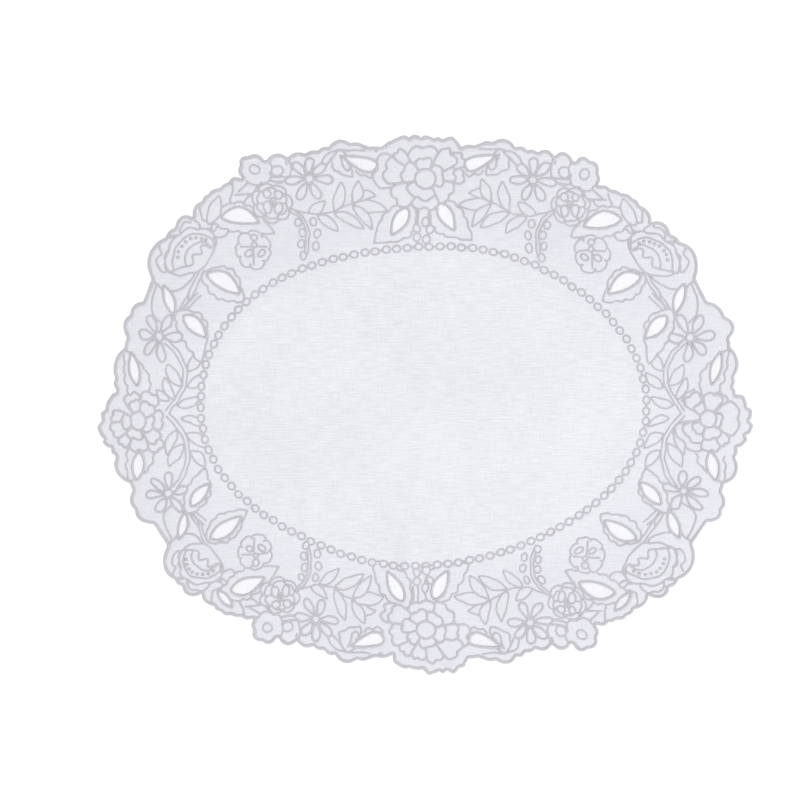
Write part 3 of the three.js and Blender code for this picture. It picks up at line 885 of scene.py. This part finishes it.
# A cord's section, anticlockwise seen from its start, as shares of its width and height.
# Its narrow foot is the thread that shows on the back of the linen.
SECTION = points((-0.22, 0), (0.22, 0), (0.5, 0.42), (0.36, 0.82), (0, 1), (-0.36, 0.82), (-0.5, 0.42))
END_TAPER = (0.55, 0.8)  # of its width and height at a loose end
FULL_WIDTH = 1.4  # a cord this wide is as high as CORD_HEIGHT


def tube(path, width, number):
    """A closed tube's points, faces and UV map in millimetres along it and shares round it."""
    loop = np.allclose(path[0], path[-1])
    path = resampled(path, CORD_STEP)
    s = lengths(path)
    thick = width * (1 + 0.05 * np.sin(s / 2.3 + number) + 0.03 * np.sin(s / 0.9))
    high = CORD_HEIGHT * (width / FULL_WIDTH) ** 0.4 * (1 + 0.04 * np.sin(s / 3.1 + 2 * number))
    if not loop:
        thick[[0, -1]] *= END_TAPER[0]
        high[[0, -1]] *= END_TAPER[1]
    count, n = len(SECTION), len(path) - loop
    spots = path[:, None] + SECTION[None, :, :1] * (thick[:, None] * sides(path))[:, None]
    level = (lift(path) - CLOTH_FLOOR_GAP / 2)[:, None] + SECTION[None, :, 1] * high[:, None]
    co = np.concatenate([spots, level[:, :, None]], 2)[:n].reshape(-1, 3)
    i, j = np.meshgrid(np.arange(len(path) - 1), np.arange(count), indexing="ij")
    here, ahead, k = i * count, (i + 1) % n * count, (j + 1) % count
    faces = np.stack([here + j, here + k, ahead + k, ahead + j], 2).reshape(-1, 4)
    round_it = np.stack([j, j + 1, j + 1, j], 2) / count
    along = np.stack([s[i], s[i], s[i + 1], s[i + 1]], 2)
    uv = np.stack([along, round_it], 3).reshape(-1, 2).tolist()
    faces = faces.tolist()
    if not loop:
        faces += [list(range(count))[::-1], list(range((n - 1) * count, n * count))]
        uv += [(s[0], 0.5)] * count + [(s[-1], 0.5)] * count
    return co, faces, uv


def cord_piece(group, paths, material):
    """One piece with a tube along every path of a group of lines."""
    co, faces, uv = [], [], []
    start = 0
    for number, path in enumerate(paths):
        spots, some_faces, some_uv = tube(path, CORD_WIDTHS[group], number)
        co.append(spots)
        faces += [[start + v for v in face] for face in some_faces]
        uv += some_uv
        start += len(spots)
    return add_piece("cord_" + group, np.concatenate(co), faces, material, uv)


KNOT_RADIUS = 1.25
# A knot from its foot to the dimple in its top, as shares of its radius and of a cord's height.
KNOT_PROFILE = points((0.75, 0), (1, 0.3), (0.9, 0.52), (0.96, 0.66), (0.72, 0.98), (0.34, 1.06))
KNOT_STEPS = 14
KNOT_TURN = 9  # degrees that each ring of a knot turns on the one below
KNOT_DIMPLE = 0.94
KNOT_STITCH = 0.55  # of thread in one step round a knot
KNOT_SPACING = 20  # between two knots on the UV map
KNOT_TOP = 0.9  # where the facets of their tops start on it


def knot_piece(knots, material):
    """The small wound knots of the bands on the tulips."""
    co, faces, uv = [], [], []
    turn = np.linspace(0, 360, KNOT_STEPS, endpoint=False)
    rings = len(KNOT_PROFILE)
    for number, spot in enumerate(knots):
        start = len(co)
        foot = lift(spot[None])[0] - CLOTH_FLOOR_GAP / 2
        for row, (share, high) in enumerate(KNOT_PROFILE):
            ring = spot + polar(KNOT_RADIUS * share, turn + KNOT_TURN * row) * (1, 0.93)
            co += [(x, y, foot + high * CORD_HEIGHT) for x, y in ring]
        co.append((*spot, foot + KNOT_DIMPLE * CORD_HEIGHT))
        for row in range(rings - 1):
            for j in range(KNOT_STEPS):
                a = start + row * KNOT_STEPS + j
                b = start + row * KNOT_STEPS + (j + 1) % KNOT_STEPS
                faces.append((a, b, b + KNOT_STEPS, a + KNOT_STEPS))
                u, v, above = number * KNOT_SPACING + j * KNOT_STITCH, row / rings, (row + 1) / rings
                uv += [(u, v), (u + KNOT_STITCH, v), (u + KNOT_STITCH, above), (u, above)]
        top = start + (rings - 1) * KNOT_STEPS
        for j in range(KNOT_STEPS):
            faces.append((top + j, top + (j + 1) % KNOT_STEPS, top + KNOT_STEPS))
            u = j * KNOT_STITCH
            uv += [(u, KNOT_TOP), (u + KNOT_STITCH, KNOT_TOP), (u, 1)]
        faces.append(tuple(start + j for j in reversed(range(KNOT_STEPS))))
        uv += [(0, 0)] * KNOT_STEPS
    return add_piece("cord_knots", co, faces, material, uv)


# --- the linen

GRAIN_BORDER = 2.3  # between the points of its mesh among the stitched lines
GRAIN_PLAIN = 5.5  # and in the plain middle
GRAIN_SWITCH = 9.0  # distance from a stitched line at which it changes
EDGE_GRAIN = 1.1  # between its points along an edge
STITCH_GAP = 0.6  # no point of it is nearer to a stitched line
PUFF_END = (6, 12)  # where the puff starts to fall again, and over what distance


def smooth_step(value):
    t = np.clip(value, 0, 1)
    return t * t * (3 - 2 * t)


def distances(p, tree):
    return np.array([tree.find((x, y, 0))[2] for x, y in p])


def stitch_tree(lines):
    """Finds the nearest stitched line to a point."""
    spots = np.concatenate([resampled(path, 1.0) for group in lines.values() for path in group])
    tree = KDTree(len(spots))
    for i, (x, y) in enumerate(spots):
        tree.insert((x, y, 0), i)
    tree.balance()
    return tree


def grid(spacing):
    """Points in staggered rows over the mat, each a little off its place."""
    rows = np.arange(-HALF_WIDTH, HALF_WIDTH, spacing * 0.866)
    columns = np.arange(-HALF_LENGTH, HALF_LENGTH, spacing)
    x, y = np.meshgrid(columns, rows)
    x[1::2] += spacing / 2
    p = xy(x.ravel(), y.ravel())
    return p + 0.12 * spacing * np.sin(p[:, ::-1] * (2.1, 1.7))


def linen_points(boundary, tree):
    """The grid points of the linen's mesh within its edges, finer in the border."""
    chosen = []
    for spacing, fine in ((GRAIN_BORDER, True), (GRAIN_PLAIN, False)):
        blocks = np.array_split(grid(spacing), 12)
        p = np.concatenate([block[inside(boundary[0], block)] for block in blocks])
        for opening in boundary[1:]:
            close = np.hypot(*(p - opening.mean(0)).T) < OPENING_REACH
            p = p[~close | ~inside(opening, p)]
        gap = distances(p, tree)
        chosen.append(p[(gap < GRAIN_SWITCH) & (gap > STITCH_GAP) if fine else gap >= GRAIN_SWITCH])
    return np.concatenate(chosen)


def linen_cloth(lines, material):
    """The linen as one thin closed sheet that puffs up a little between its stitches."""
    tree = stitch_tree(lines)
    boundary = [resampled(loop, EDGE_GRAIN)[:-1] for loop in [rim_line] + openings]
    edges, start = [], 0
    for loop in boundary:
        n = len(loop)
        edges += [(start + i, start + (i + 1) % n) for i in range(n)]
        start += n
    p = np.concatenate(boundary + [linen_points(boundary, tree)])
    flat, _, faces, *_ = delaunay_2d_cdt([Vector(q) for q in p], edges, [], 1, 1e-5)
    p = np.array([tuple(q) for q in flat])
    faces = np.array(faces)
    for opening in boundary[1:]:
        faces = faces[~inside(opening, p[faces].mean(1))]
    faces = faces.tolist()
    gap = distances(p, tree)
    fall = smooth_step((gap - PUFF_END[0]) / PUFF_END[1])
    rise = PUFF * smooth_step(gap / PUFF_REACH) * (1 - fall)
    bottom = lift(p) + rise
    n = len(p)
    co = np.concatenate([np.column_stack([p, bottom + CLOTH_THICKNESS]), np.column_stack([p, bottom])])
    pairs = {(a, b) for f in faces for a, b in zip(f, f[1:] + f[:1])}
    rims = [(a, b) for a, b in pairs if (b, a) not in pairs]
    mesh_faces = [tuple(f) for f in faces]
    mesh_faces += [tuple(n + v for v in reversed(f)) for f in faces]
    mesh_faces += [(b, a, n + a, n + b) for a, b in sorted(rims)]
    return add_piece("linen_cloth", co, mesh_faces, material)


# --- the nets


def grown(loop, distance):
    """A closed outline moved outwards."""
    return loop - (1 if loop_area(loop[:-1]) > 0 else -1) * sides(loop) * distance


def long_way(loop):
    """An outline's length, its width and the direction of its length."""
    gaps = np.hypot(*(loop[:, None] - loop[None]).transpose(2, 0, 1))
    a, b = np.unravel_index(gaps.argmax(), gaps.shape)
    way = (loop[b] - loop[a]) / gaps[a, b]
    return gaps[a, b], float(np.ptp(loop @ (-way[1], way[0]))), heading(*way)


def mesh_cells(outline, turn):
    """The corners of the six-sided meshes whose middles lie in an outline."""
    reach = int(np.ptp(outline, axis=0).max() / NET_PITCH) + 2
    i, j = np.meshgrid(np.arange(-reach, reach), np.arange(-reach, reach))
    middles = xy((i + j / 2).ravel(), j.ravel() * math.sqrt(0.75)) * NET_PITCH
    middles = middles[np.hypot(*middles.T) < reach * NET_PITCH * 0.75]
    places = moved(middles, *outline.mean(0), turn)
    kept = middles[inside(outline, places)]
    return kept[:, None] + polar(NET_PITCH / math.sqrt(3), 30 + 60 * np.arange(6))[None]


def net_piece(node, material):
    """The net of one leaf, as threads that meet in threes round six-sided holes."""
    outline = grown(even_loop(top_loops(node)[0], CORD_STEP / 2, 1), NET_TURN_IN)
    length, width, turn = long_way(outline)
    number, partners = {}, []
    for cell in np.round(mesh_cells(outline, turn), 3).tolist():
        ring = [number.setdefault(tuple(corner), len(number)) for corner in cell]
        partners += list(zip(ring, ring[1:] + ring[:1]))
    nodes = np.array(list(number))
    a, b = np.array(partners + [pair[::-1] for pair in partners]).T
    way = np.round(np.degrees(np.arctan2(*(nodes[b] - nodes[a]).T[::-1]))) % 360
    first = np.zeros(len(nodes))
    first[a] = way % 120
    joined = set(zip(a.tolist(), way.astype(int).tolist(), b.tolist()))
    corner_reach = NET_THREAD[0] / 2 / math.sin(math.radians(60))
    co = [spot + polar(corner_reach, start + np.array([60, 180, 300]))
          for spot, start in zip(nodes, first)]
    spots = moved(np.concatenate(co), *outline.mean(0), turn)
    level = lift(spots) + NET_LEVEL
    lower = np.column_stack([spots, level - NET_THREAD[1] / 2])
    upper = np.column_stack([spots, level + NET_THREAD[1] / 2])
    up = len(spots)

    def corner(at, degrees):
        return at * 3 + int(round((degrees - first[at] - 60) / 120)) % 3

    faces = []
    for at in range(len(nodes)):
        faces += [(at * 3, at * 3 + 2, at * 3 + 1), (up + at * 3, up + at * 3 + 1, up + at * 3 + 2)]
    bare = {(at, int(first[at]) + k) for at in range(len(nodes)) for k in (0, 120, 240)}
    for at, degrees, to in joined:
        bare.discard((at, degrees))
        if at < to:
            right, left = corner(at, degrees - 60), corner(at, degrees + 60)
            far_right, far_left = corner(to, degrees - 120), corner(to, degrees + 120)
            faces += [(up + right, up + far_right, up + far_left, up + left),
                      (left, far_left, far_right, right),
                      (right, far_right, up + far_right, up + right),
                      (far_left, left, up + left, up + far_left)]
    for at, degrees in bare:
        right, left = corner(at, degrees - 60), corner(at, degrees + 60)
        faces.append((right, left, up + left, up + right))
    faces.sort()
    piece = add_piece("sheer_" + node, np.concatenate([lower, upper]), faces, material)
    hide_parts(node)


# --- materials


class Nodes:
    """A material's node tree, with one short call for each kind of node."""

    def __init__(self, name):
        self.material = bpy.data.materials.new(name)
        self.material.use_nodes = True
        self.tree = self.material.node_tree
        self.shader = self.tree.nodes["Principled BSDF"]
        spots = self.add("TexCoord").outputs
        self.place, self.uv = spots["Object"], spots["UV"]

    def put(self, socket, value):
        if isinstance(value, bpy.types.NodeSocket):
            self.tree.links.new(value, socket)
        else:
            socket.default_value = value

    def add(self, kind, *values, **settings):
        """A new node with these values or links on its first inputs."""
        node = self.tree.nodes.new("ShaderNode" + kind)
        for name, value in settings.items():
            setattr(node, name, value)
        for socket, value in zip(node.inputs, values):
            self.put(socket, value)
        return node

    def math(self, operation, *values):
        return self.add("Math", *values, operation=operation).outputs[0]

    def scaled(self, place, scale):
        return self.add("VectorMath", place, scale, operation="MULTIPLY").outputs["Vector"]

    def length(self, place):
        return self.add("VectorMath", place, operation="LENGTH").outputs["Value"]

    def split(self, place):
        return self.add("SeparateXYZ", place).outputs

    def noise(self, scale, detail=2.0, place=None):
        node = self.add("TexNoise", self.place if place is None else place)
        node.inputs["Scale"].default_value = scale
        node.inputs["Detail"].default_value = detail
        return node.outputs["Fac"]

    def centred(self, value, amount):
        """Turns a share from 0 to 1 into one from -amount to amount."""
        return self.math("MULTIPLY", self.math("SUBTRACT", value, 0.5), 2 * amount)

    def mix(self, factor, a, b):
        node = self.add("Mix", factor, data_type="RGBA")
        self.put(node.inputs[6], a)
        self.put(node.inputs[7], b)
        return node.outputs[2]

    def colour(self, factor, a, b):
        self.put(self.shader.inputs["Base Color"], self.mix(factor, a, b))

    def bump(self, height, distance, strength):
        node = self.add("Bump")
        self.put(node.inputs["Height"], height)
        node.inputs["Distance"].default_value = distance
        node.inputs["Strength"].default_value = strength
        self.put(self.shader.inputs["Normal"], node.outputs["Normal"])

    def finish(self, **values):
        """Sets the numbers that are the same all over, and gives the material."""
        for name, value in values.items():
            self.shader.inputs[name.replace("_", " ")].default_value = value
        return self.material


# The linen's darker colour serves both its uneven tone and painted shade between the threads of the
# weave.
LINEN_LIGHT = (0.800, 0.815, 0.860, 1)
LINEN_DARK_AND_GAP_SHADE = (0.665, 0.672, 0.715, 1)
BORDER_LIGHT = (0.760, 0.755, 0.812, 1)
MIDDLE_REACH = (0.142, 0.100, 1)  # half axes, in metres, of the plain middle
BORDER_START = 1.025  # the border's tone starts here, in shares of those
BORDER_BLEND = 4.0  # and comes in this fast
# The cord's darker colour serves both a slow uneven tone and painted shade in the grooves between the
# stitches.
CORD_LIGHT = (0.630, 0.620, 0.665, 1)
CORD_DARK_AND_GROOVE_SHADE = (0.480, 0.468, 0.515, 1)
CORD_FLANK = (0.730, 0.728, 0.765, 1)
NET_WHITE = (0.885, 0.890, 0.930, 1)
NET_SHADE = (0.805, 0.810, 0.860, 1)
FLOOR_WHITE = (0.96, 0.96, 0.96, 1)
FLOOR_SHADE = (0.95, 0.95, 0.95, 1)
LINEN_THREAD = 0.62  # between two threads of the weave
SLUB_SCALES = ((90, 1000, 1), (1100, 120, 1))  # thick places along X, and along Y
SATIN_STITCH = 0.42  # between two stitches across a cord


def linen_material():
    """Plain weave: threads that pass over and under, thick places in them, slow uneven tone, and
    painted shade that darkens the colour between the threads.
    The linen of the border is a little greyer than the plain middle."""
    n = Nodes("white linen")
    shake = n.centred(n.noise(90.0, 3.0), 0.9)
    x, y, _ = n.split(n.place)
    across, along = [n.math("ADD", n.math("MULTIPLY", way, 1 / (LINEN_THREAD * MM)), shake)
                     for way in (x, y)]
    warp_wave = n.math("COSINE", n.math("MULTIPLY", across, math.pi))
    weft_wave = n.math("COSINE", n.math("MULTIPLY", along, math.pi))
    over = n.math("MULTIPLY_ADD", n.math("MULTIPLY", warp_wave, weft_wave), 0.5, 0.5)
    warp = n.math("MULTIPLY", n.math("ABSOLUTE", warp_wave), over)
    weft = n.math("MULTIPLY", n.math("ABSOLUTE", weft_wave), n.math("SUBTRACT", 1.0, over))
    weave = n.math("MAXIMUM", warp, weft)
    slubs = [n.noise(1.0, 2.0, n.scaled(n.place, scale)) for scale in SLUB_SCALES]
    slub = n.math("ADD", n.centred(slubs[0], 0.8), n.centred(slubs[1], 0.4))
    slow = n.centred(n.noise(14.0, 3.0), 0.35)
    # tone: painted shade between the weave's threads, with the thick places and a slow uneven tone
    tone = n.math("ADD", n.math("MULTIPLY_ADD", weave, 0.30, 0.42), n.math("ADD", slub, slow))
    outwards = n.length(n.scaled(n.place, [1 / reach for reach in MIDDLE_REACH]))
    border = n.math("MULTIPLY", n.math("SUBTRACT", outwards, BORDER_START), BORDER_BLEND)
    n.colour(tone, LINEN_DARK_AND_GAP_SHADE, n.mix(border, LINEN_LIGHT, BORDER_LIGHT))
    n.bump(n.math("ADD", weave, n.math("MULTIPLY", slub, 0.8)), 0.00012, 0.8)
    return n.finish(Roughness=0.85, Sheen_Weight=0.15, Sheen_Roughness=0.5, Specular_IOR_Level=0.25)


CORD_TOP = 4 / 7  # where the top of a cord is in its UV map's share round it
FLANK_SPREAD = 3.5  # brings its flanks, two points of the section away, to one


def cord_material():
    """Satin stitch: thread laid across the cord, slightly slanted, and thinner at its flanks. Its
    colour has painted shade in the grooves between the stitches.
    """
    n = Nodes("grey satin stitch")
    along, across, _ = n.split(n.uv)
    drift = n.math("ADD", n.math("MULTIPLY", across, 0.6), n.centred(n.noise(900.0), 0.35))
    count = n.math("MULTIPLY_ADD", along, 1 / SATIN_STITCH, drift)
    stitch = n.math("ABSOLUTE", n.math("SINE", n.math("MULTIPLY", count, math.pi)))
    slow = n.centred(n.noise(60.0), 0.45)
    # tone: painted shade in the grooves between the stitches, with a slow uneven tone
    tone = n.math("ADD", n.math("MULTIPLY_ADD", stitch, 0.5, 0.25), slow)
    aside = n.math("MULTIPLY", n.math("SUBTRACT", across, CORD_TOP), FLANK_SPREAD)
    flank = n.math("MULTIPLY", n.math("POWER", n.math("ABSOLUTE", aside), 2.0), 0.8)
    n.colour(flank, n.mix(tone, CORD_DARK_AND_GROOVE_SHADE, CORD_LIGHT), CORD_FLANK)
    n.bump(stitch, 0.00012, 0.9)
    return n.finish(Roughness=0.48, Sheen_Weight=0.25, Sheen_Roughness=0.35, Specular_IOR_Level=0.45)


def net_material():
    """Fine white thread with a little fuzz."""
    n = Nodes("white net thread")
    fuzz = n.noise(4000.0)
    n.colour(fuzz, NET_SHADE, NET_WHITE)
    n.bump(fuzz, 0.00003, 0.5)
    return n.finish(Roughness=0.6, Sheen_Weight=0.1)


def floor_material():
    n = Nodes("white studio floor")
    n.colour(n.noise(6.0, 4.0), FLOOR_SHADE, FLOOR_WHITE)
    return n.finish(Roughness=0.9, Specular_IOR_Level=0.1)


# --- the pieces

lines, knots = stitched_lines()
linen = linen_material()
cord = cord_material()
net = net_material()
cloth = linen_cloth(lines, linen)
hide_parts("linen_ground")
stitching = [cord_piece(group, paths, cord) for group, paths in lines.items()]
stitching.append(knot_piece(knots, cord))
for name in sorted(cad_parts):
    if name.startswith("net_"):
        net_piece(name, net)

# --- floor, light and camera

HALF_FLOOR = 4.5
SKY = 0.72  # brightness of the pale room all round
LAMP_WATTS = 52.0
LAMP_SIZE = 2.4
LAMP_PLACE = (0.9, -0.7, 2.8)

scene = bpy.context.scene
floor_mesh = bpy.data.meshes.new("floor")
corners = [(x * HALF_FLOOR, y * HALF_FLOOR, 0) for x, y in ((-1, -1), (1, -1), (1, 1), (-1, 1))]
floor_mesh.from_pydata(corners, [], [(0, 1, 2, 3)])
floor_mesh.materials.append(floor_material())
floor = add_object("floor", floor_mesh)

world = bpy.data.worlds.new("pale room")
world.use_nodes = True
world.node_tree.nodes["Background"].inputs["Color"].default_value = (1, 1, 1, 1)
world.node_tree.nodes["Background"].inputs["Strength"].default_value = SKY
scene.world = world
lamp_data = bpy.data.lights.new("soft lamp", "AREA")
lamp_data.shape = "SQUARE"
lamp_data.size = LAMP_SIZE
lamp_data.energy = LAMP_WATTS
lamp = add_object("soft lamp", lamp_data)
lamp.location = LAMP_PLACE
lamp.rotation_euler = (-lamp.location).to_track_quat("-Z", "Y").to_euler()

CAMERA_HEIGHT = 1.2476
CAMERA_PLACE = (-0.0168, 0.0033)
CAMERA_LENS = 85
camera_data = bpy.data.cameras.new("camera")
camera_data.lens = CAMERA_LENS
camera_data.sensor_width = 36
camera = add_object("camera", camera_data)
camera.location = (*CAMERA_PLACE, CAMERA_HEIGHT)
scene.camera = camera
scene.view_settings.view_transform = "Standard"
